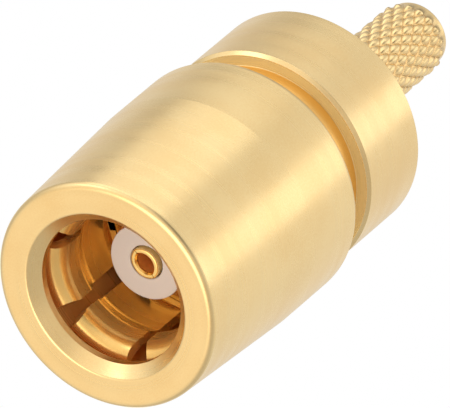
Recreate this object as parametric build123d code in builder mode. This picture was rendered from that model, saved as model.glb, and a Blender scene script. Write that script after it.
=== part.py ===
from build123d import *
import os
from math import cos, pi, radians, sin, tan

# Straight coaxial crimp plug for thin cable, in millimetres.
# It stands on the flat ring round its mouth. The origin is the centre of that ring,
# and +Z runs from the mouth to the cable end.

# Clearances
press_gap = 0.01
slide_gap = 0.015
finger_travel = 0.26

# Guard shell
mouth_radius = 2.01
mouth_chamfer = 0.30
mouth_land = 0.20
shell_wall = 0.62
shell_taper = 0.24
front_round = 0.16
taper_end = 4.65
shell_edge = 0.20
shell_press_length = 1.35

# Spring contact, the outer conductor: its slotted fingers are closed to a bead and flared at the tip
finger_count = 6
finger_wall = 0.22
tip_setback = 0.34
tip_radius = 2.21
tip_wall = 0.12
tip_flare = 0.09
tip_round = 0.48
bead_radius = 1.81
bead_land = 0.87
bead_slope = 0.50
shank_radius = 2.07
shank_length = 1.45
tip_slot = 0.60
slot_taper = 0.40
bead_slot = 0.28
shank_slot = 0.45
slot_margin = 0.20
line_radius = 1.05
root_length = 1.55
flange_thickness = 0.30
flange_inset = 0.06
collar_radius = 1.90
collar_length = 1.40

# Insulator
insulator_proud = 1.70
insulator_flange = 1.40
insulator_pocket = 0.80

# Centre contact, a slotted socket with a cup for the cable's wire
socket_bore = 0.30
socket_wall = 0.155
socket_lead = 0.07
socket_edge = 0.03
socket_depth = 2.60
socket_proud = 0.10
slit_front = 0.04
slit_rear = 0.16
slit_depth = 1.90
shoulder_step = 0.195
shoulder_length = 0.50
cup_bore = 0.28
cup_depth = 1.50
contact_tail = 1.70

# Crimp body
seat_ring = 0.18
neck_lead = 0.06
body_gap = 1.04
drum_step = 0.38
body_length = 2.60
body_edge = 0.09
tail_gap = 0.05
cable_bore = 0.78
bore_chamfer = 0.04
stem_wall = 0.15
stem_length = 5.36
stem_end_round = 0.08

# Knurl round the stem
knurl_depth = 0.085
knurl_teeth = 18
knurl_angle = 30.0
knurl_root_band = 0.15
knurl_end_band = 0.32
band_inset = 0.012

# Heights along the axis, from the mouth
land_end = mouth_chamfer + mouth_land
tip_z = land_end + tip_setback
bead_front = tip_z + tip_flare
bead_rear = bead_front + bead_land
shank_front = bead_rear + bead_slope
floor_z = shank_front + shank_length
slot_end = floor_z - slot_margin
flange_front = floor_z + root_length
neck_front = flange_front + flange_thickness
shell_length = neck_front + shell_press_length
collar_rear = neck_front + collar_length
insulator_front = floor_z - insulator_proud
insulator_rear = collar_rear + insulator_flange
shoulder_z = insulator_rear - insulator_pocket
shoulder_end = shoulder_z + shoulder_length
socket_front = insulator_front - socket_proud
contact_rear = shoulder_end + contact_tail
cable_stop = contact_rear + tail_gap
body_front = shell_length + body_gap
body_rear = body_front + body_length
stem_end = body_rear + stem_length
knurl_start = body_rear + knurl_root_band
knurl_end = stem_end - knurl_end_band

# Radii that follow from the pieces they fit
root_radius = shank_radius + finger_wall
recess_radius = root_radius + finger_travel
neck_radius = recess_radius + seat_ring
body_radius = neck_radius + drum_step
shell_bore = neck_radius + press_gap
shell_radius = shell_bore + shell_wall
front_radius = shell_radius - shell_taper
flange_radius = recess_radius - flange_inset
cavity_radius = collar_radius + press_gap
nose_radius = line_radius - press_gap
socket_radius = socket_bore + socket_wall
shoulder_radius = socket_radius + shoulder_step
contact_hole = socket_radius + slide_gap
shoulder_hole = shoulder_radius + slide_gap
knurl_valley = cable_bore + stem_wall
knurl_crest = knurl_valley + knurl_depth
band_radius = knurl_valley * cos(pi / (2 * knurl_teeth)) - band_inset

# Guard shell: a turned sleeve that shields the fingers and guides the mating jack
with BuildPart() as guard_shell:
    with BuildSketch(Plane.XZ):
        with BuildLine():
            Polyline(
                (mouth_radius + mouth_chamfer, 0),
                (front_radius, 0),
                (shell_radius, taper_end),
                (shell_radius, shell_length),
                (shell_bore, shell_length),
                (shell_bore, neck_front),
                (recess_radius, neck_front),
                (recess_radius, land_end),
                (mouth_radius, land_end),
                (mouth_radius, mouth_chamfer),
                close=True,
            )
        make_face()
    revolve(axis=Axis.Z)
    shell_rims = guard_shell.edges().filter_by(GeomType.CIRCLE)
    fillet(shell_rims.group_by(Axis.Z)[0].sort_by(SortBy.RADIUS)[-1], front_round)
    shell_rims = guard_shell.edges().filter_by(GeomType.CIRCLE)
    fillet(shell_rims.group_by(Axis.Z)[-1].sort_by(SortBy.RADIUS)[-1], shell_edge)

# Spring contact: six thin fingers that snap over the jack, on a turned root with a flange and a collar
with BuildPart() as spring_contact:
    with BuildSketch(Plane.XZ):
        with BuildLine():
            FilletPolyline(
                (tip_radius, tip_z),
                (bead_radius, bead_front),
                (bead_radius, bead_rear),
                radius=tip_round,
            )
            Polyline(
                (bead_radius, bead_rear),
                (shank_radius, shank_front),
                (shank_radius, floor_z),
                (line_radius, floor_z),
                (line_radius, collar_rear),
                (collar_radius, collar_rear),
                (collar_radius, neck_front),
                (flange_radius, neck_front),
                (flange_radius, flange_front),
                (root_radius, flange_front),
                (root_radius, shank_front),
                (bead_radius + finger_wall, bead_rear),
                (bead_radius + finger_wall, tip_z + slot_taper),
                (tip_radius + tip_wall, tip_z),
                (tip_radius, tip_z),
            )
        make_face()
    revolve(axis=Axis.Z)
    for finger in range(finger_count):
        with BuildSketch(Plane.YZ.rotated((0, 0, finger * 360 / finger_count))):
            with BuildLine():
                Polyline(
                    (0, tip_z),
                    (tip_slot / 2, tip_z),
                    (bead_slot / 2, tip_z + slot_taper),
                    (bead_slot / 2, bead_rear),
                    (shank_slot / 2, shank_front),
                    (shank_slot / 2, slot_end),
                    (0, slot_end),
                )
                mirror(about=Plane.YZ)
            make_face()
        extrude(amount=recess_radius, mode=Mode.SUBTRACT)

# Insulator: a nose that stands in the ring of fingers and a flange trapped behind the collar
with BuildPart() as insulator:
    with BuildSketch(Plane.XZ):
        with BuildLine():
            Polyline(
                (contact_hole, insulator_front),
                (nose_radius, insulator_front),
                (nose_radius, collar_rear),
                (collar_radius, collar_rear),
                (collar_radius, insulator_rear),
                (shoulder_hole, insulator_rear),
                (shoulder_hole, shoulder_z),
                (contact_hole, shoulder_z),
                close=True,
            )
        make_face()
    revolve(axis=Axis.Z)

# Centre contact: a split socket in front, a shoulder, and a cup behind for the wire
with BuildPart() as centre_contact:
    with BuildSketch(Plane.XZ):
        with BuildLine():
            Polyline(
                (0, socket_front),
                (socket_radius, socket_front),
                (socket_radius, shoulder_z),
                (shoulder_radius, shoulder_z),
                (shoulder_radius, shoulder_end),
                (socket_radius, shoulder_end),
                (socket_radius, contact_rear),
                (0, contact_rear),
                close=True,
            )
        make_face()
    revolve(axis=Axis.Z)
    contact_rims = centre_contact.edges().filter_by(GeomType.CIRCLE)
    chamfer(contact_rims.group_by(Axis.Z)[0], socket_edge)
    with Locations(Plane(origin=(0, 0, socket_front), x_dir=(1, 0, 0), z_dir=(0, 0, -1))):
        CounterSinkHole(socket_bore, socket_bore + socket_lead, depth=socket_depth, counter_sink_angle=90)
    with Locations(Plane.XY.offset(contact_rear)):
        Hole(cup_bore, depth=cup_depth)
    with BuildSketch(Plane.XZ):
        with BuildLine():
            Polyline(
                (-slit_front / 2, socket_front),
                (slit_front / 2, socket_front),
                (slit_rear / 2, socket_front + slit_depth),
                (-slit_rear / 2, socket_front + slit_depth),
                close=True,
            )
        make_face()
    extrude(amount=2 * socket_radius, both=True, mode=Mode.SUBTRACT)


def knurl_core():
    """Closed core of the stem: pointed diamonds that run out to a plain edge at both ends."""
    diamond_width = 2 * pi * knurl_crest / knurl_teeth
    diamond_height = diamond_width / tan(radians(knurl_angle))
    rows = 2 * round((knurl_end - knurl_start) / diamond_height)
    row_height = (knurl_end - knurl_start) / rows
    columns = 2 * knurl_teeth

    def corner(row, column):
        on_crest = (row + column) % 2 == 0 and 0 < row < rows
        radius = knurl_crest if on_crest else knurl_valley
        turn = 2 * pi * column / columns
        return Vector(radius * cos(turn), radius * sin(turn), knurl_start + row * row_height)

    def flat(*points):
        return Face(Wire.make_polygon(points))

    faces = [
        flat(*[corner(0, column) for column in range(columns)]),
        flat(*[corner(rows, column) for column in range(columns)]),
    ]
    for row in range(rows):
        for column in range(columns):
            low_left = corner(row, column)
            low_right = corner(row, column + 1)
            high_left = corner(row + 1, column)
            high_right = corner(row + 1, column + 1)
            if (row + column) % 2 == 0:
                faces.append(flat(low_left, low_right, high_left))
                faces.append(flat(low_right, high_right, high_left))
            else:
                faces.append(flat(low_left, low_right, high_right))
                faces.append(flat(low_left, high_right, high_left))
    return Solid(Shell(faces))


# Crimp body: neck pressed into the shell, drum, and knurled stem for the cable's braid
with BuildPart() as crimp_body:
    with BuildSketch(Plane.XZ):
        with BuildLine():
            Polyline(
                (0, neck_front),
                (neck_radius - neck_lead, neck_front),
                (neck_radius, neck_front + neck_lead),
                (neck_radius, body_front),
                (body_radius, body_front),
                (body_radius, body_rear),
                (band_radius, body_rear),
                (band_radius, stem_end),
                (0, stem_end),
                close=True,
            )
        make_face()
    revolve(axis=Axis.Z)
    body_rims = crimp_body.edges().filter_by(GeomType.CIRCLE)
    drum_rims = body_rims.filter_by(lambda rim: abs(rim.radius - body_radius) < 0.001)
    chamfer(drum_rims, body_edge)
    stem_rims = crimp_body.edges().filter_by(GeomType.CIRCLE)
    fillet(stem_rims.group_by(Axis.Z)[-1], stem_end_round)
    add(knurl_core())
    with Locations(Plane(origin=(0, 0, neck_front), x_dir=(1, 0, 0), z_dir=(0, 0, -1))):
        Hole(cavity_radius, depth=insulator_rear - neck_front)
        Hole(line_radius, depth=cable_stop - neck_front)
    with Locations(Plane.XY.offset(stem_end)):
        CounterSinkHole(
            cable_bore,
            cable_bore + bore_chamfer,
            depth=stem_end - cable_stop,
            counter_sink_angle=90,
        )

os.makedirs("parts", exist_ok=True)

guard_shell.part.label = "guard_shell"
export_step(guard_shell.part, "parts/guard_shell.step")

spring_contact.part.label = "spring_contact"
export_step(spring_contact.part, "parts/spring_contact.step")

insulator.part.label = "insulator"
export_step(insulator.part, "parts/insulator.step")

centre_contact.part.label = "centre_contact"
export_step(centre_contact.part, "parts/centre_contact.step")

crimp_body.part.label = "crimp_body"
export_step(crimp_body.part, "parts/crimp_body.step")
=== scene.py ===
import math

import bmesh
import bpy
from mathutils import Matrix, Vector


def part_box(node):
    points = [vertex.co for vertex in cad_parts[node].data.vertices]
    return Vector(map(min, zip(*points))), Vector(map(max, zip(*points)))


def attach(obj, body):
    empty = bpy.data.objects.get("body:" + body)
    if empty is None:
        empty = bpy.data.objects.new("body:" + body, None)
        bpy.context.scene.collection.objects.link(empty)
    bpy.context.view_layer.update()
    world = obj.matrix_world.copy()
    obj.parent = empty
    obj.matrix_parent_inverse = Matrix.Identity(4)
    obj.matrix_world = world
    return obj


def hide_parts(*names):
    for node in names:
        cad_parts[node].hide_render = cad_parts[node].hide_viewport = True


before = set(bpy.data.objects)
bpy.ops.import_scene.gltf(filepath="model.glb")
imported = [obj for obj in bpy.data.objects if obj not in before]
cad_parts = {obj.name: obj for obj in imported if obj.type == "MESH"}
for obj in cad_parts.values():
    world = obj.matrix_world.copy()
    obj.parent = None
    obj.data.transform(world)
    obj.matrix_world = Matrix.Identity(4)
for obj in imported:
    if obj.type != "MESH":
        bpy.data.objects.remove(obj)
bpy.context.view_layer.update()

# Shapes are modelled in millimetres, and scaled to metres when a piece is finished
MM = 0.001


def span(node):
    """Where a CAD node begins and ends along the axis, in millimetres."""
    low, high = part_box(node)
    return low.z / MM, high.z / MM


# Heights read from the CAD nodes
mouth_z, shell_rear = span("guard_shell")
tip_z, collar_rear = span("spring_contact")
insulator_front, insulator_rear = span("insulator")
socket_front, contact_rear = span("centre_contact")
neck_front, stem_end = span("crimp_body")

# Guard shell
FRONT_RADIUS = 3.12
SHELL_RADIUS = 3.36
SHELL_BORE = 2.74
RECESS_RADIUS = 2.55
MOUTH_RADIUS = 2.01
MOUTH_CHAMFER = 0.30
MOUTH_ROUND = 0.08
LAND_END = 0.50
TAPER_END = 4.65
TAPER_ROUND = 0.03
FRONT_ROUND = 0.168
REAR_ROUND = 0.20

# Spring contact
FINGER_COUNT = 6
FINGER_WALL = 0.22
TIP_RADIUS = 2.21
TIP_WALL = 0.12
TIP_FLARE = 0.09
FLARE_ROUND = 0.48
BEAD_RADIUS = 1.81
BEAD_LAND = 0.87
BEAD_SLOPE = 0.50
BEAD_ROUND = 0.28
SHANK_RADIUS = 2.07
SHANK_LENGTH = 1.45
SHANK_ROUND = 0.45
TIP_SLOT = 0.60
SLOT_TAPER = 0.40
BEAD_SLOT = 0.28
SHANK_SLOT = 0.45
TIP_ROUND = 0.03
SLOT_MARGIN = 0.20
ROOT_RADIUS = SHANK_RADIUS + FINGER_WALL
LINE_RADIUS = 1.05
FLOOR_ROUND = 0.04
FLANGE_RADIUS = 2.49
FLANGE_THICKNESS = 0.30
COLLAR_RADIUS = 1.90

# Insulator
NOSE_RADIUS = 1.04
NOSE_ROUND = 0.03
CONTACT_HOLE = 0.47
HOLE_ROUND = 0.02
SHOULDER_HOLE = 0.665
SHOULDER_POCKET = 0.80

# Centre contact
SOCKET_RADIUS = 0.455
SOCKET_BORE = 0.30
SOCKET_LEAD = 0.05
LEAD_ROUND = 0.02
LEAD_RIM = 0.008
SOCKET_ROUND = 0.045
SOCKET_DEPTH = 2.60
SLIT_WIDTH = 0.18
SLIT_DEPTH = 1.90
PINCH = 0.08
SHOULDER_RADIUS = 0.65
SHOULDER_LENGTH = 0.50
CUP_BORE = 0.28
CUP_DEPTH = 1.50

# Crimp body
NECK_RADIUS = 2.73
NECK_ROUND = 0.05
FILLET = 0.02
DRUM_RADIUS = 3.11
DRUM_CHAMFER = 0.09
BODY_GAP = 1.04
DRUM_LENGTH = 2.60
CAVITY_RADIUS = 1.91
CABLE_BORE = 0.78
CABLE_BORE_ROUND = 0.04
TAIL_GAP = 0.05
STEM_RADIUS = 0.9145
STEM_ROUND = 0.08
KNURL_VALLEY = 0.93
KNURL_CREST = 1.015
KNURL_TEETH = 18
KNURL_ROWS = 8
KNURL_ROOT_BAND = 0.15
KNURL_END_BAND = 0.32

# Heights that follow
bead_front = tip_z + TIP_FLARE
bead_rear = bead_front + BEAD_LAND
shank_front = bead_rear + BEAD_SLOPE
floor_z = shank_front + SHANK_LENGTH
slot_end = floor_z - SLOT_MARGIN
flange_front = neck_front - FLANGE_THICKNESS
shoulder_z = insulator_rear - SHOULDER_POCKET
drum_front = shell_rear + BODY_GAP
drum_rear = drum_front + DRUM_LENGTH
cable_stop = contact_rear + TAIL_GAP
knurl_start = drum_rear + KNURL_ROOT_BAND
knurl_end = stem_end - KNURL_END_BAND

# How finely round things are made
TURN_STEPS = 216
FINGER_COLUMNS = 24
SLOT_COLUMNS = 4
KNURL_COLUMNS = TURN_STEPS // KNURL_TEETH
EDGE = 0.015
CHAMFER_STEPS = 2
CORNER_STEPS = 3
ROUND_STEPS = 8

# Points nearer than SAME_PLACE count as one place, and ones nearer than MERGED are made one
SAME_PLACE = 1e-4
MERGED = 1e-5

# Faces whose middle lies within this share of a slot's half width are taken out for it
SLOT_SHARE = 0.9

# Which edges are shaded as sharp: any past SHARP_BEND, and any past SOFT_BEND between two faces
# of which one is more than BROAD times as large as the other
SHARP_BEND = math.radians(40)
SOFT_BEND = math.radians(3)
BROAD = 4.0


def section(corners, closed=True):
    """A turned piece's outline in the XZ plane. Each corner is (radius, height, rounding, steps)."""
    bm = bmesh.new()
    verts = [bm.verts.new((radius, 0, height)) for radius, height, *_ in corners]
    places = [vert.co.copy() for vert in verts]
    for first, second in zip(verts, verts[1:]):
        bm.edges.new((first, second))
    if closed:
        bm.edges.new((verts[-1], verts[0]))
    for number, (vert, (_, _, rounding, steps)) in enumerate(zip(verts, corners)):
        if rounding:
            came = places[number] - places[number - 1]
            goes = places[(number + 1) % len(places)] - places[number]
            bmesh.ops.bevel(
                bm, geom=[vert], offset=rounding * math.tan(came.angle(goes) / 2), offset_type="OFFSET",
                segments=steps, profile=0.5, affect="VERTICES", clamp_overlap=False, material=-1,
            )
    return bm


def turn(bm, steps=TURN_STEPS):
    """Spins an outline once round the axis."""
    bmesh.ops.spin(
        bm, geom=bm.verts[:] + bm.edges[:], cent=(0, 0, 0), axis=(0, 0, 1),
        dvec=(0, 0, 0), angle=2 * math.pi, steps=steps, use_merge=True, use_duplicate=False,
    )
    bmesh.ops.remove_doubles(bm, verts=bm.verts, dist=MERGED)
    bmesh.ops.recalc_face_normals(bm, faces=bm.faces)


def column_of(vert, columns):
    """Which of the spin's columns a vertex stands on."""
    return round(math.atan2(vert.co.y, vert.co.x) / (2 * math.pi / columns)) % columns


def distance_to(line, radius, height):
    """How far a point of an outline lies from a line of corners."""
    point = Vector((radius, height))
    nearest = []
    for first, second in zip(line, line[1:]):
        along = Vector(second) - Vector(first)
        share = max(0.0, min(1.0, (point - Vector(first)).dot(along) / along.length_squared))
        nearest.append((point - Vector(first) - share * along).length)
    return min(nearest)


def cut_slots(bm, count, width_at, first, rear, finger_columns, inner, outer):
    """Cuts a turned tube into fingers, from its front to the height rear.

    width_at gives the slots' width at a height, and first is the angle of one slot's middle.
    The columns of the spin are gathered so that some lie along each side of a slot, and the
    slots' faces are then taken out. inner and outer are the outline's lines in and outside
    the tube, between which each slot's side is then closed. The faces of the sides come back.
    """
    half_finger = finger_columns // 2
    per_finger = finger_columns + 2 * SLOT_COLUMNS
    columns = count * per_finger
    half_pitch = math.pi / count

    def place(vert):
        radius = math.hypot(vert.co.x, vert.co.y)
        if radius < SAME_PLACE:
            return
        finger, column = divmod(column_of(vert, columns), per_finger)
        column -= per_finger // 2
        side = half_pitch - math.asin(min(1.0, width_at(vert.co.z) / 2 / radius))
        if abs(column) <= half_finger:
            turn_by = side * column / half_finger
        else:
            beyond = (abs(column) - half_finger) / SLOT_COLUMNS
            turn_by = math.copysign(side + (half_pitch - side) * beyond, column)
        angle = first + (2 * finger + 1) * half_pitch + turn_by
        vert.co.x = radius * math.cos(angle)
        vert.co.y = radius * math.sin(angle)

    def nearest_slot(point):
        """The number of the slot next to a point, and how far past its middle the point lies."""
        turned = (math.atan2(point.y, point.x) - first) / (2 * half_pitch)
        number = round(turned)
        past = math.hypot(point.x, point.y) * math.sin((turned - number) * 2 * half_pitch)
        return number % count, past

    def in_slot(face):
        middle = face.calc_center_median()
        return middle.z < rear and abs(nearest_slot(middle)[1]) < SLOT_SHARE * width_at(middle.z) / 2

    def is_inside(vert):
        radius = math.hypot(vert.co.x, vert.co.y)
        return distance_to(inner, radius, vert.co.z) < distance_to(outer, radius, vert.co.z)

    for vert in bm.verts:
        place(vert)
    bmesh.ops.delete(bm, geom=[face for face in bm.faces if in_slot(face)], context="FACES")

    rims = [edge for edge in bm.edges if edge.is_boundary]
    ends = [edge for edge in rims if all(abs(vert.co.z - rear) < SAME_PLACE for vert in edge.verts)]
    walls = {}
    for edge in rims:
        inside = [is_inside(vert) for vert in edge.verts]
        if edge not in ends and inside[0] == inside[1]:
            number, past = nearest_slot((edge.verts[0].co + edge.verts[1].co) / 2)
            walls.setdefault((number, past > 0), []).append(edge)
    bmesh.ops.bridge_loops(bm, edges=ends)
    sides = []
    for wall in walls.values():
        sides += bmesh.ops.bridge_loops(bm, edges=wall)["faces"]
    bmesh.ops.recalc_face_normals(bm, faces=bm.faces)
    return sides


def soften(bm, faces, width):
    """Rounds the edges where these faces meet others."""
    chosen = set(faces)
    rims = [edge for edge in bm.edges
            if len(edge.link_faces) == 2 and len(chosen.intersection(edge.link_faces)) == 1]
    bmesh.ops.bevel(
        bm, geom=rims, offset=width, offset_type="OFFSET", segments=CHAMFER_STEPS,
        profile=0.5, affect="EDGES", clamp_overlap=True, material=-1,
    )


def shade(bm):
    """Shades curved faces smoothly, and keeps a broad face flat up to the roundings at its edges."""
    for face in bm.faces:
        face.smooth = True
    for edge in bm.edges:
        if len(edge.link_faces) == 2:
            bend = edge.calc_face_angle()
            small, large = sorted(face.calc_area() for face in edge.link_faces)
            edge.smooth = bend < SHARP_BEND and (bend < SOFT_BEND or large < BROAD * small)


def finished(name, bm, node, material):
    """Makes the piece an object that stands for its CAD node."""
    shade(bm)
    mesh = bpy.data.meshes.new(name)
    bm.to_mesh(mesh)
    bm.free()
    mesh.transform(Matrix.Scale(MM, 4))
    mesh.materials.append(material)
    piece = bpy.data.objects.new(name, mesh)
    bpy.context.scene.collection.objects.link(piece)
    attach(piece, "root")
    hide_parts(node)


def make_guard_shell(material):
    bm = section([
        (MOUTH_RADIUS + MOUTH_CHAMFER, mouth_z, MOUTH_ROUND, ROUND_STEPS),
        (FRONT_RADIUS, mouth_z, FRONT_ROUND, ROUND_STEPS),
        (SHELL_RADIUS, TAPER_END, TAPER_ROUND, CHAMFER_STEPS),
        (SHELL_RADIUS, shell_rear, REAR_ROUND, ROUND_STEPS),
        (SHELL_BORE, shell_rear, EDGE, CORNER_STEPS),
        (SHELL_BORE, neck_front, 0, 0),
        (RECESS_RADIUS, neck_front, EDGE, CORNER_STEPS),
        (RECESS_RADIUS, LAND_END, 0, 0),
        (MOUTH_RADIUS, LAND_END, EDGE, CORNER_STEPS),
        (MOUTH_RADIUS, MOUTH_CHAMFER, EDGE, CORNER_STEPS),
    ])
    turn(bm)
    finished("shell", bm, "guard_shell", material)


def finger_slot_width(height):
    """The slots narrow where the fingers are closed to the bead, and open again at the tip."""
    corners = [
        (tip_z, TIP_SLOT),
        (tip_z + SLOT_TAPER, BEAD_SLOT),
        (bead_rear, BEAD_SLOT),
        (shank_front, SHANK_SLOT),
    ]
    if height <= tip_z:
        return TIP_SLOT
    for (low, low_width), (high, high_width) in zip(corners, corners[1:]):
        if height <= high:
            return low_width + (high_width - low_width) * (height - low) / (high - low)
    return SHANK_SLOT


def make_spring_contact(material):
    inner = [
        (TIP_RADIUS, tip_z),
        (BEAD_RADIUS, bead_front),
        (BEAD_RADIUS, bead_rear),
        (SHANK_RADIUS, shank_front),
        (SHANK_RADIUS, slot_end),
    ]
    outer = [
        (TIP_RADIUS + TIP_WALL, tip_z),
        (BEAD_RADIUS + FINGER_WALL, tip_z + SLOT_TAPER),
        (BEAD_RADIUS + FINGER_WALL, bead_rear),
        (ROOT_RADIUS, shank_front),
        (ROOT_RADIUS, slot_end),
    ]
    inside_rounding = [TIP_ROUND, FLARE_ROUND, BEAD_ROUND, SHANK_ROUND]
    outside_rounding = [TIP_ROUND, BEAD_ROUND, BEAD_ROUND, SHANK_ROUND]
    inside_bends = [(*corner, rounding, ROUND_STEPS) for corner, rounding in zip(inner, inside_rounding)]
    outside_bends = [(*corner, rounding, ROUND_STEPS) for corner, rounding in zip(outer, outside_rounding)]
    bm = section([
        *inside_bends,
        (SHANK_RADIUS, slot_end, 0, 0),
        (SHANK_RADIUS, floor_z, FLOOR_ROUND, CORNER_STEPS),
        (LINE_RADIUS, floor_z, EDGE, CORNER_STEPS),
        (LINE_RADIUS, collar_rear, EDGE, CORNER_STEPS),
        (COLLAR_RADIUS, collar_rear, EDGE, CORNER_STEPS),
        (COLLAR_RADIUS, neck_front, 0, 0),
        (FLANGE_RADIUS, neck_front, EDGE, CORNER_STEPS),
        (FLANGE_RADIUS, flange_front, EDGE, CORNER_STEPS),
        (ROOT_RADIUS, flange_front, 0, 0),
        (ROOT_RADIUS, slot_end, 0, 0),
        *reversed(outside_bends),
    ])
    turn(bm, FINGER_COUNT * (FINGER_COLUMNS + 2 * SLOT_COLUMNS))
    sides = cut_slots(bm, FINGER_COUNT, finger_slot_width, 0, slot_end, FINGER_COLUMNS, inner, outer)
    soften(bm, sides, EDGE)
    finished("fingers", bm, "spring_contact", material)


def make_insulator(material):
    bm = section([
        (CONTACT_HOLE, insulator_front, HOLE_ROUND, CORNER_STEPS),
        (NOSE_RADIUS, insulator_front, NOSE_ROUND, CORNER_STEPS),
        (NOSE_RADIUS, collar_rear, 0, 0),
        (COLLAR_RADIUS, collar_rear, EDGE, CORNER_STEPS),
        (COLLAR_RADIUS, insulator_rear, EDGE, CORNER_STEPS),
        (SHOULDER_HOLE, insulator_rear, EDGE, CORNER_STEPS),
        (SHOULDER_HOLE, shoulder_z, 0, 0),
        (CONTACT_HOLE, shoulder_z, EDGE, CORNER_STEPS),
    ])
    turn(bm, TURN_STEPS // 2)
    finished("white_insulator", bm, "insulator", material)


def make_centre_contact(material):
    slit_rear = socket_front + SLIT_DEPTH
    bm = section([
        (0, socket_front + SOCKET_DEPTH, 0, 0),
        (SOCKET_BORE, socket_front + SOCKET_DEPTH, 0, 0),
        (SOCKET_BORE, slit_rear, 0, 0),
        (SOCKET_BORE, socket_front + SOCKET_LEAD, LEAD_ROUND, CORNER_STEPS),
        (SOCKET_BORE + SOCKET_LEAD, socket_front, LEAD_RIM, CORNER_STEPS),
        (SOCKET_RADIUS, socket_front, SOCKET_ROUND, ROUND_STEPS),
        (SOCKET_RADIUS, slit_rear, 0, 0),
        (SOCKET_RADIUS, shoulder_z, 0, 0),
        (SHOULDER_RADIUS, shoulder_z, EDGE, CORNER_STEPS),
        (SHOULDER_RADIUS, shoulder_z + SHOULDER_LENGTH, EDGE, CORNER_STEPS),
        (SOCKET_RADIUS, shoulder_z + SHOULDER_LENGTH, 0, 0),
        (SOCKET_RADIUS, contact_rear, EDGE, CORNER_STEPS),
        (CUP_BORE, contact_rear, EDGE, CORNER_STEPS),
        (CUP_BORE, contact_rear - CUP_DEPTH, 0, 0),
        (0, contact_rear - CUP_DEPTH, 0, 0),
    ], closed=False)
    halves = 2
    half_columns = 2 * FINGER_COLUMNS
    turn(bm, halves * (half_columns + 2 * SLOT_COLUMNS))
    inner = [
        (SOCKET_BORE + SOCKET_LEAD, socket_front),
        (SOCKET_BORE, socket_front + SOCKET_LEAD),
        (SOCKET_BORE, slit_rear),
    ]
    outer = [(SOCKET_RADIUS, socket_front), (SOCKET_RADIUS, slit_rear)]
    sides = cut_slots(
        bm, halves, lambda height: SLIT_WIDTH, math.pi / 2, slit_rear, half_columns, inner, outer,
    )
    soften(bm, sides, EDGE / 2)
    for vert in bm.verts:
        if vert.co.z < slit_rear:
            closed = PINCH * (slit_rear - vert.co.z) / SLIT_DEPTH
            vert.co.x -= math.copysign(closed, vert.co.x)
    finished("split_socket", bm, "centre_contact", material)


def knurl_height(angle, height):
    """How far the diamond knurl stands out, from 0 in a groove to 1 on a diamond."""
    across = KNURL_TEETH * angle / (2 * math.pi)
    along = KNURL_ROWS * (height - knurl_start) / (knurl_end - knurl_start)
    one = abs(math.sin(math.pi * (along + across)))
    other = abs(math.sin(math.pi * (along - across)))
    return 1 - (1 - one * other) ** 2


def make_crimp_body(material):
    bm = section([
        (CAVITY_RADIUS, neck_front, EDGE, CORNER_STEPS),
        (NECK_RADIUS, neck_front, NECK_ROUND, CORNER_STEPS),
        (NECK_RADIUS, drum_front, FILLET, CORNER_STEPS),
        (DRUM_RADIUS - DRUM_CHAMFER, drum_front, EDGE, CHAMFER_STEPS),
        (DRUM_RADIUS, drum_front + DRUM_CHAMFER, EDGE, CHAMFER_STEPS),
        (DRUM_RADIUS, drum_rear - DRUM_CHAMFER, EDGE, CHAMFER_STEPS),
        (DRUM_RADIUS - DRUM_CHAMFER, drum_rear, EDGE, CHAMFER_STEPS),
        (STEM_RADIUS, drum_rear, FILLET, CORNER_STEPS),
        (STEM_RADIUS, knurl_start, 0, 0),
        (STEM_RADIUS, knurl_end, 0, 0),
        (STEM_RADIUS, stem_end, STEM_ROUND, ROUND_STEPS),
        (CABLE_BORE, stem_end, CABLE_BORE_ROUND, CORNER_STEPS),
        (CABLE_BORE, cable_stop, 0, 0),
        (LINE_RADIUS, cable_stop, 0, 0),
        (LINE_RADIUS, insulator_rear, EDGE, CORNER_STEPS),
        (CAVITY_RADIUS, insulator_rear, 0, 0),
    ])
    ends = {round(knurl_start, 4), round(knurl_end, 4)}
    knurled = [edge for edge in bm.edges if {round(vert.co.z, 4) for vert in edge.verts} == ends]
    bmesh.ops.subdivide_edges(bm, edges=knurled, cuts=KNURL_ROWS * KNURL_COLUMNS - 1)
    turn(bm)
    wall_middle = (CABLE_BORE + STEM_RADIUS) / 2
    for vert in bm.verts:
        radius = math.hypot(vert.co.x, vert.co.y)
        if knurl_start + SAME_PLACE < vert.co.z < knurl_end - SAME_PLACE and radius > wall_middle:
            out = knurl_height(math.atan2(vert.co.y, vert.co.x), vert.co.z)
            grown = (KNURL_VALLEY + (KNURL_CREST - KNURL_VALLEY) * out) / radius
            vert.co.x *= grown
            vert.co.y *= grown
    finished("body", bm, "crimp_body", material)


def new_group(name, inputs, outputs):
    """An empty shader node group with these sockets."""
    group = bpy.data.node_groups.new(name, "ShaderNodeTree")
    for label, value in inputs:
        socket = group.interface.new_socket(label, in_out="INPUT", socket_type="NodeSocketFloat")
        socket.default_value = value
    for label in outputs:
        group.interface.new_socket(label, in_out="OUTPUT", socket_type="NodeSocketFloat")
    return group


def feed(tree, socket, value):
    """Sets a number or a colour on a socket, or links an output to it."""
    if isinstance(value, (int, float)):
        socket.default_value = value
    elif isinstance(value, tuple):
        socket.default_value = (*value, 1.0)
    else:
        tree.links.new(value, socket)


def math_node(tree, operation, first, second):
    node = tree.nodes.new("ShaderNodeMath")
    node.operation = operation
    feed(tree, node.inputs[0], first)
    feed(tree, node.inputs[1], second)
    return node.outputs[0]


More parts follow.
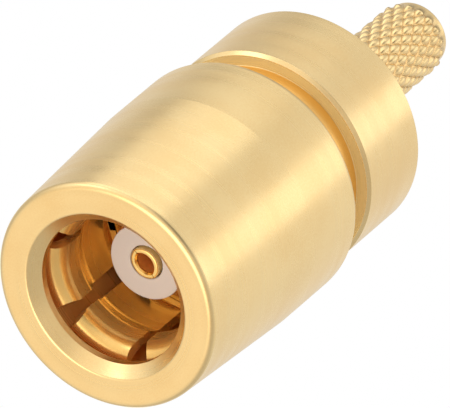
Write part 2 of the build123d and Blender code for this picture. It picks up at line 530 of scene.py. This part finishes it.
def millimetres(tree):
    """The object's own coordinates in millimetres, and the distance from its axis."""
    place = tree.nodes.new("ShaderNodeTexCoord")
    scaled = tree.nodes.new("ShaderNodeVectorMath")
    scaled.operation = "SCALE"
    scaled.inputs["Scale"].default_value = 1 / MM
    tree.links.new(place.outputs["Object"], scaled.inputs[0])
    split = tree.nodes.new("ShaderNodeSeparateXYZ")
    tree.links.new(scaled.outputs[0], split.inputs[0])
    flat = tree.nodes.new("ShaderNodeCombineXYZ")
    tree.links.new(split.outputs["X"], flat.inputs["X"])
    tree.links.new(split.outputs["Y"], flat.inputs["Y"])
    length = tree.nodes.new("ShaderNodeVectorMath")
    length.operation = "LENGTH"
    tree.links.new(flat.outputs[0], length.inputs[0])
    return scaled.outputs[0], split, length.outputs["Value"]


def build_turning_marks():
    """Fine rings left by the lathe: lines round the axis on sides and faces alike."""
    group = new_group("turning_marks", [("Lines", 12.0), ("Break", 0.15)], ["Height", "Tone"])
    inlet = group.nodes.new("NodeGroupInput")
    outlet = group.nodes.new("NodeGroupOutput")
    _, split, radius = millimetres(group)
    rings = group.nodes.new("ShaderNodeCombineXYZ")
    lines, breaks = inlet.outputs["Lines"], inlet.outputs["Break"]
    outwards = math_node(group, "MULTIPLY", radius, lines)
    sideways = math_node(group, "MULTIPLY", split.outputs["X"], breaks)
    feed(group, rings.inputs["X"], math_node(group, "ADD", outwards, sideways))
    feed(group, rings.inputs["Y"], math_node(group, "MULTIPLY", split.outputs["Z"], lines))
    feed(group, rings.inputs["Z"], math_node(group, "MULTIPLY", split.outputs["Y"], breaks))
    for label, scale, roughness in (("Height", 1.0, 0.6), ("Tone", 0.22, 0.5)):
        noise = group.nodes.new("ShaderNodeTexNoise")
        noise.inputs["Scale"].default_value = scale
        noise.inputs["Detail"].default_value = 2.0
        noise.inputs["Roughness"].default_value = roughness
        group.links.new(rings.outputs[0], noise.inputs["Vector"])
        group.links.new(noise.outputs["Fac"], outlet.inputs[label])
    return group


def build_plating():
    """Cloudy differences of tone in plated metal, and its faint grain."""
    group = new_group("plating", [("Cloud size", 1.4), ("Grain size", 0.05)], ["Cloud", "Grain"])
    inlet = group.nodes.new("NodeGroupInput")
    outlet = group.nodes.new("NodeGroupOutput")
    place, _, _ = millimetres(group)
    for size, label, detail in (("Cloud size", "Cloud", 3.0), ("Grain size", "Grain", 1.0)):
        noise = group.nodes.new("ShaderNodeTexNoise")
        noise.inputs["Detail"].default_value = detail
        group.links.new(place, noise.inputs["Vector"])
        feed(group, noise.inputs["Scale"], math_node(group, "DIVIDE", 1.0, inlet.outputs[size]))
        group.links.new(noise.outputs["Fac"], outlet.inputs[label])
    return group


def add_group(tree, group, **values):
    """Places a group in a material with its own values."""
    node = tree.nodes.new("ShaderNodeGroup")
    node.node_tree = group
    for label, value in values.items():
        node.inputs[label].default_value = value
    return node


def remap(tree, value, from_low, from_high, to_low, to_high):
    """Turns one range of a value into another, smoothly, and holds it at the ends."""
    node = tree.nodes.new("ShaderNodeMapRange")
    node.interpolation_type = "SMOOTHSTEP"
    for label, number in (("From Min", from_low), ("From Max", from_high),
                          ("To Min", to_low), ("To Max", to_high)):
        node.inputs[label].default_value = number
    tree.links.new(value, node.inputs["Value"])
    return node.outputs["Result"]


def blend_colours(tree, share, first, second):
    """The first colour where share is 0, and the second where it is 1."""
    node = tree.nodes.new("ShaderNodeMix")
    node.data_type = "RGBA"
    feed(tree, node.inputs["Factor"], share)
    feed(tree, node.inputs["A"], first)
    feed(tree, node.inputs["B"], second)
    return node.outputs["Result"]


def new_material(name):
    material = bpy.data.materials.new(name)
    material.use_nodes = True
    tree = material.node_tree
    return material, tree, tree.nodes["Principled BSDF"]


def between(tree, value, low, high, edge):
    """1 where the value lies between low and high, and 0 beyond, over a soft edge."""
    rises = remap(tree, value, low - edge, low, 0.0, 1.0)
    falls = remap(tree, value, high, high + edge, 1.0, 0.0)
    return math_node(tree, "MULTIPLY", rises, falls)


def add_bump(tree, shader, height, strength, depth):
    """Lifts the surface's shading by a height, depth millimetres deep."""
    bump = tree.nodes.new("ShaderNodeBump")
    bump.inputs["Strength"].default_value = strength
    bump.inputs["Distance"].default_value = depth * MM
    tree.links.new(height, bump.inputs["Height"])
    tree.links.new(bump.outputs["Normal"], shader.inputs["Normal"])


# How much of the plate's mottling is cloud and how much grain, and the ranges of both noises
CLOUD_SHARE = 0.6
GRAIN_SHARE = 0.4
MOTTLE_RANGE = (0.35, 0.65)
MARKS_RANGE = (0.3, 0.7)

# How softly a place of painted light or shade ends, and the small step by which its bounds pass or clear a
# surface
PAINTED_EDGE = 0.02
STEP = 0.01


def make_gold(name, tones, roughness, marking, shine=1.0, painted_places=()):
    """Turned metal under gold plate, which clouds between two tones.

    roughness is the plate's least and most, and marking the lathe's lines to the millimetre and
    their depth. Light and shade are painted into some bores, grooves and faces. Each such place,
    in the last argument, gives the radii and the heights between which it lies, its painted tone,
    and how metallic the plate is there.
    """
    material, tree, shader = new_material(name)
    lines, depth = marking
    marks = add_group(tree, groups["turning_marks"], Lines=lines)
    plate = add_group(tree, groups["plating"])
    clouds = math_node(tree, "MULTIPLY", plate.outputs["Cloud"], CLOUD_SHARE)
    grains = math_node(tree, "MULTIPLY", plate.outputs["Grain"], GRAIN_SHARE)
    mottled = remap(tree, math_node(tree, "ADD", clouds, grains), *MOTTLE_RANGE, 0.0, 1.0)
    tone = blend_colours(tree, mottled, *tones)
    metallic = shine
    _, split, radius = millimetres(tree)
    # Each place paints light or shade into the plate, by its own tone and its own share of metal
    for inner, outer, front, rear, painted_tone, painted_shine in painted_places:
        in_radius = between(tree, radius, inner, outer, PAINTED_EDGE)
        in_height = between(tree, split.outputs["Z"], front, rear, PAINTED_EDGE)
        share = math_node(tree, "MULTIPLY", in_radius, in_height)
        tone = blend_colours(tree, share, tone, painted_tone)
        lost = math_node(tree, "MULTIPLY", share, shine - painted_shine)
        metallic = math_node(tree, "SUBTRACT", metallic, lost)
    feed(tree, shader.inputs["Metallic"], metallic)
    feed(tree, shader.inputs["Base Color"], tone)
    feed(tree, shader.inputs["Roughness"], remap(tree, marks.outputs["Tone"], *MARKS_RANGE, *roughness))
    add_bump(tree, shader, marks.outputs["Height"], 1.0, depth)
    return material


# The white insulator's two tones, its roughness and refraction, and how strongly its lines show
WHITE_TONES = ((0.72, 0.65, 0.62), (0.77, 0.71, 0.68))
WHITE_ROUGHNESS = 0.5
WHITE_IOR = 1.35
WHITE_MARKS = 0.6


def make_white(marking):
    """White fluoropolymer, faced on the lathe."""
    material, tree, shader = new_material("white_fluoropolymer")
    lines, depth = marking
    marks = add_group(tree, groups["turning_marks"], Lines=lines)
    feed(tree, shader.inputs["Base Color"], blend_colours(tree, marks.outputs["Tone"], *WHITE_TONES))
    shader.inputs["Roughness"].default_value = WHITE_ROUGHNESS
    shader.inputs["IOR"].default_value = WHITE_IOR
    add_bump(tree, shader, marks.outputs["Height"], WHITE_MARKS, depth)
    return material


groups = {"turning_marks": build_turning_marks(), "plating": build_plating()}

# Roughness of the satin outside, the formed fingers and the small socket
SATIN = (0.25, 0.33)
FORMED = (0.24, 0.30)
BRIGHT = (0.16, 0.22)

# Lathe lines to the millimetre, and their depth in millimetres
FINE_LINES = (14.0, 0.00025)
PLAIN_LINES = (10.0, 0.0004)
FACED_LINES = (9.0, 0.004)

# Painted light and shade: inner and outer radius, front and rear height, painted tone, and how metallic it
# is
# Painted shade: the shell's recess behind the mouth's land is a deep orange, nearly matt, for the dim
# gold-bounced light inside it
SHELL_RECESS_SHADE = (0.0, RECESS_RADIUS + 2 * STEP, LAND_END, shell_rear, (1.0, 0.55, 0.17), 0.15)
# Painted shade: the bottoms of the knurl's grooves are a darker, more orange gold
KNURL_GROOVE_SHADE = (0.0, KNURL_VALLEY + 2 * STEP, knurl_start, knurl_end, (0.93, 0.62, 0.27), 1.0)
# Painted shade: the neck in the groove between the shell and the drum is a darker orange gold
NECK_GROOVE_SHADE = (0.0, NECK_RADIUS + STEP, neck_front, drum_front - 3 * STEP, (0.97, 0.59, 0.19), 1.0)
# Painted light: the drum's flat front face is a pale cream and mostly matt, brighter than its reflections
# make it
DRUM_FRONT_LIGHT = (
    NECK_RADIUS + 3 * STEP, DRUM_RADIUS - DRUM_CHAMFER - 2 * STEP,
    drum_front - STEP, drum_front + STEP, (1.0, 0.88, 0.50), 0.35,
)
# Painted shade: the socket's bore, back from its lead-in, is a deep orange-brown and mostly matt, for the
# dim light inside it
SOCKET_INSIDE_SHADE = (
    0.0, SOCKET_BORE + STEP,
    socket_front + 10 * STEP, contact_rear, (1.0, 0.50, 0.14), 0.2,
)
# Painted reflection: the socket's outer wall, where it stands proud of the insulator, is a pale, mostly
# matt gold for the white insulator it reflects
SOCKET_OUTSIDE_REFLECTION = (
    SOCKET_RADIUS - PINCH - 2 * STEP, SOCKET_RADIUS + 10 * STEP,
    socket_front + 3 * STEP, insulator_front + 10 * STEP, (1.0, 0.80, 0.38), 0.2,
)

shell_gold = make_gold(
    "satin_gold_shell", ((0.97, 0.73, 0.36), (0.93, 0.67, 0.31)), SATIN, FINE_LINES,
    painted_places=[SHELL_RECESS_SHADE],
)
body_gold = make_gold(
    "satin_gold_body", ((0.96, 0.72, 0.36), (0.92, 0.66, 0.31)), SATIN, FINE_LINES,
    painted_places=[KNURL_GROOVE_SHADE, NECK_GROOVE_SHADE, DRUM_FRONT_LIGHT],
)
spring_gold = make_gold(
    "bright_gold_spring", ((1.0, 0.68, 0.24), (0.99, 0.62, 0.20)), FORMED, PLAIN_LINES, shine=0.78,
)
socket_gold = make_gold(
    "bright_gold_socket", ((1.0, 0.70, 0.26), (0.98, 0.65, 0.22)), BRIGHT, PLAIN_LINES,
    painted_places=[SOCKET_INSIDE_SHADE, SOCKET_OUTSIDE_REFLECTION],
)
white = make_white(FACED_LINES)

make_guard_shell(shell_gold)
make_spring_contact(spring_gold)
make_insulator(white)
make_centre_contact(socket_gold)
make_crimp_body(body_gold)


# The camera stands below and in front of the mouth, far away with a long lens. MOUTH_PIXEL is where
# the mouth's middle is in the picture, AXIS_ANGLE the angle from the sight line to the plug's axis,
# AXIS_ROLL the axis's lean in the picture, and NEAR_SIDE the side of the plug that is turned to it
IMAGE_WIDTH = 450
IMAGE_HEIGHT = 408
MOUTH_PIXEL = (105.2, 297.2)
PIXELS_PER_MM = 39.9
LENS = 1200.0
SENSOR = 36.0
CLIP_SHARES = (0.01, 3.0)
AXIS_ANGLE = math.radians(40.8)
AXIS_ROLL = math.radians(40.3)
NEAR_SIDE = math.radians(-7.0)

near_side = Vector((math.cos(NEAR_SIDE), math.sin(NEAR_SIDE), 0))
far_turn = Vector((-math.sin(NEAR_SIDE), math.cos(NEAR_SIDE), 0))
axis = Vector((0, 0, 1))
to_camera = math.sin(AXIS_ANGLE) * near_side - math.cos(AXIS_ANGLE) * axis
along_axis = (axis + math.cos(AXIS_ANGLE) * to_camera) / math.sin(AXIS_ANGLE)
right = math.cos(AXIS_ROLL) * along_axis + math.sin(AXIS_ROLL) * far_turn
up = math.sin(AXIS_ROLL) * along_axis - math.cos(AXIS_ROLL) * far_turn


def add_camera():
    data = bpy.data.cameras.new("photo_camera")
    data.lens = LENS
    data.sensor_width = SENSOR
    distance = LENS / SENSOR * IMAGE_WIDTH / PIXELS_PER_MM
    across = (IMAGE_WIDTH / 2 - MOUTH_PIXEL[0]) / PIXELS_PER_MM
    above = (MOUTH_PIXEL[1] - IMAGE_HEIGHT / 2) / PIXELS_PER_MM
    data.clip_start, data.clip_end = [share * distance * MM for share in CLIP_SHARES]
    camera = bpy.data.objects.new("photo_camera", data)
    turned = Matrix((right, up, to_camera)).transposed().to_4x4()
    place = (across * right + above * up + distance * to_camera) * MM
    camera.matrix_world = Matrix.Translation(place) @ turned
    bpy.context.scene.collection.objects.link(camera)
    bpy.context.scene.camera = camera


# The floor's half width and its depth under the plug, in millimetres, its tone and its roughness
FLOOR_REACH = 150.0
FLOOR_DEPTH = 0.01
FLOOR_TONE = (0.82, 0.82, 0.82)
FLOOR_ROUGHNESS = 0.9


def add_floor():
    """A plain pale floor. From below it isn't there, so that the camera sees the plug's mouth."""
    bm = bmesh.new()
    bmesh.ops.create_grid(bm, x_segments=1, y_segments=1, size=FLOOR_REACH * MM)
    bmesh.ops.translate(bm, verts=bm.verts, vec=(0, 0, -FLOOR_DEPTH * MM))
    mesh = bpy.data.meshes.new("floor")
    bm.to_mesh(mesh)
    bm.free()
    material, tree, shader = new_material("pale_floor")
    feed(tree, shader.inputs["Base Color"], FLOOR_TONE)
    shader.inputs["Roughness"].default_value = FLOOR_ROUGHNESS
    light_path = tree.nodes.new("ShaderNodeLightPath")
    geometry = tree.nodes.new("ShaderNodeNewGeometry")
    above = math_node(tree, "SUBTRACT", 1.0, geometry.outputs["Backfacing"])
    seen = math_node(tree, "MULTIPLY", light_path.outputs["Is Camera Ray"], above)
    clear = tree.nodes.new("ShaderNodeBsdfTransparent")
    mix = tree.nodes.new("ShaderNodeMixShader")
    tree.links.new(seen, mix.inputs["Fac"])
    tree.links.new(clear.outputs[0], mix.inputs[1])
    tree.links.new(shader.outputs[0], mix.inputs[2])
    tree.links.new(mix.outputs[0], tree.nodes["Material Output"].inputs["Surface"])
    mesh.materials.append(material)
    floor = bpy.data.objects.new("floor", mesh)
    bpy.context.scene.collection.objects.link(floor)


def way_at(turn_by, climb):
    """The direction at this angle round the axis from the near side, and this angle above the floor."""
    angle = NEAR_SIDE + math.radians(turn_by)
    climb = math.radians(climb)
    return Vector((math.cos(angle) * math.cos(climb), math.sin(angle) * math.cos(climb), math.sin(climb)))


# Soft lamps: name, angle round the axis from the near side, climb, width, height, and how bright
# the face looks beside white paper. They stand this far from a point this high up the axis
SOFTBOXES = (
    ("right_softbox", 36, 46, 30, 90, 0.50),
    ("top_softbox", -55, 26, 90, 62, 0.62),
    ("low_softbox", -80, -24, 26, 26, 1.15),
)
SOFTBOX_DISTANCE = 80.0
SOFTBOX_AIM = 6.0


def add_softbox(name, turn_by, climb, width, height, glow):
    """A lamp of this size in millimetres, turned to the plug."""
    way = way_at(turn_by, climb)
    data = bpy.data.lights.new(name, "AREA")
    data.shape = "RECTANGLE"
    data.size = width * MM
    data.size_y = height * MM
    data.energy = glow * math.pi * data.size * data.size_y
    lamp = bpy.data.objects.new(name, data)
    lamp.location = (SOFTBOX_AIM * axis + SOFTBOX_DISTANCE * way) * MM
    lamp.rotation_euler = way.to_track_quat("Z", "Y").to_euler()
    bpy.context.scene.collection.objects.link(lamp)


# The room's soft light beside white paper, and where it changes: angle round the axis from the near
# side, climb, angle to which the change is full and at which it ends, and by how much it changes.
# Light from steeper below than the first of WARM_HEIGHTS is warm, and from above the last it is white
ROOM = 0.56
WINDOWS = (
    (180, -55, 15, 55, 0.36),
    (-75, -20, 15, 55, 0.56),
    (45, 45, 15, 75, 0.30),
    (180, 45, 15, 55, 0.24),
    (0, -90, 8, 32, 1.70),
    (0, 90, 10, 38, -0.24),
    (0, -45, 10, 45, 0.20),
    (0, -12, 8, 28, -0.45),
)
WHITE_LIGHT = (1.0, 1.0, 1.0)
WARM_LIGHT = (1.0, 0.91, 0.80)
WARM_HEIGHTS = (-0.9, -0.2)


def light_world():
    """White to the camera. To all else it is a pale room, brighter in some places and dimmer in others."""
    world = bpy.data.worlds.new("pale_room")
    bpy.context.scene.world = world
    world.use_nodes = True
    tree = world.node_tree
    background = tree.nodes["Background"]
    way = tree.nodes.new("ShaderNodeTexCoord").outputs["Generated"]
    glow = ROOM
    for turn_by, climb, inner, outer, brightness in WINDOWS:
        facing = tree.nodes.new("ShaderNodeVectorMath")
        facing.operation = "DOT_PRODUCT"
        facing.inputs[1].default_value = way_at(turn_by, climb)
        tree.links.new(way, facing.inputs[0])
        full, ends = math.cos(math.radians(inner)), math.cos(math.radians(outer))
        window = remap(tree, facing.outputs["Value"], ends, full, 0.0, brightness)
        glow = math_node(tree, "ADD", glow, window)
    light_path = tree.nodes.new("ShaderNodeLightPath")
    mix = tree.nodes.new("ShaderNodeMix")
    tree.links.new(light_path.outputs["Is Camera Ray"], mix.inputs["Factor"])
    tree.links.new(glow, mix.inputs["A"])
    mix.inputs["B"].default_value = 1.0
    tree.links.new(mix.outputs["Result"], background.inputs["Strength"])
    split = tree.nodes.new("ShaderNodeSeparateXYZ")
    tree.links.new(way, split.inputs[0])
    unseen = math_node(tree, "SUBTRACT", 1.0, light_path.outputs["Is Camera Ray"])
    low_down = remap(tree, split.outputs["Z"], *WARM_HEIGHTS, 1.0, 0.0)
    from_below = math_node(tree, "MULTIPLY", unseen, low_down)
    feed(tree, background.inputs["Color"], blend_colours(tree, from_below, WHITE_LIGHT, WARM_LIGHT))


add_camera()
add_floor()
light_world()
for softbox in SOFTBOXES:
    add_softbox(*softbox)

bpy.context.scene.view_settings.view_transform = "Standard"
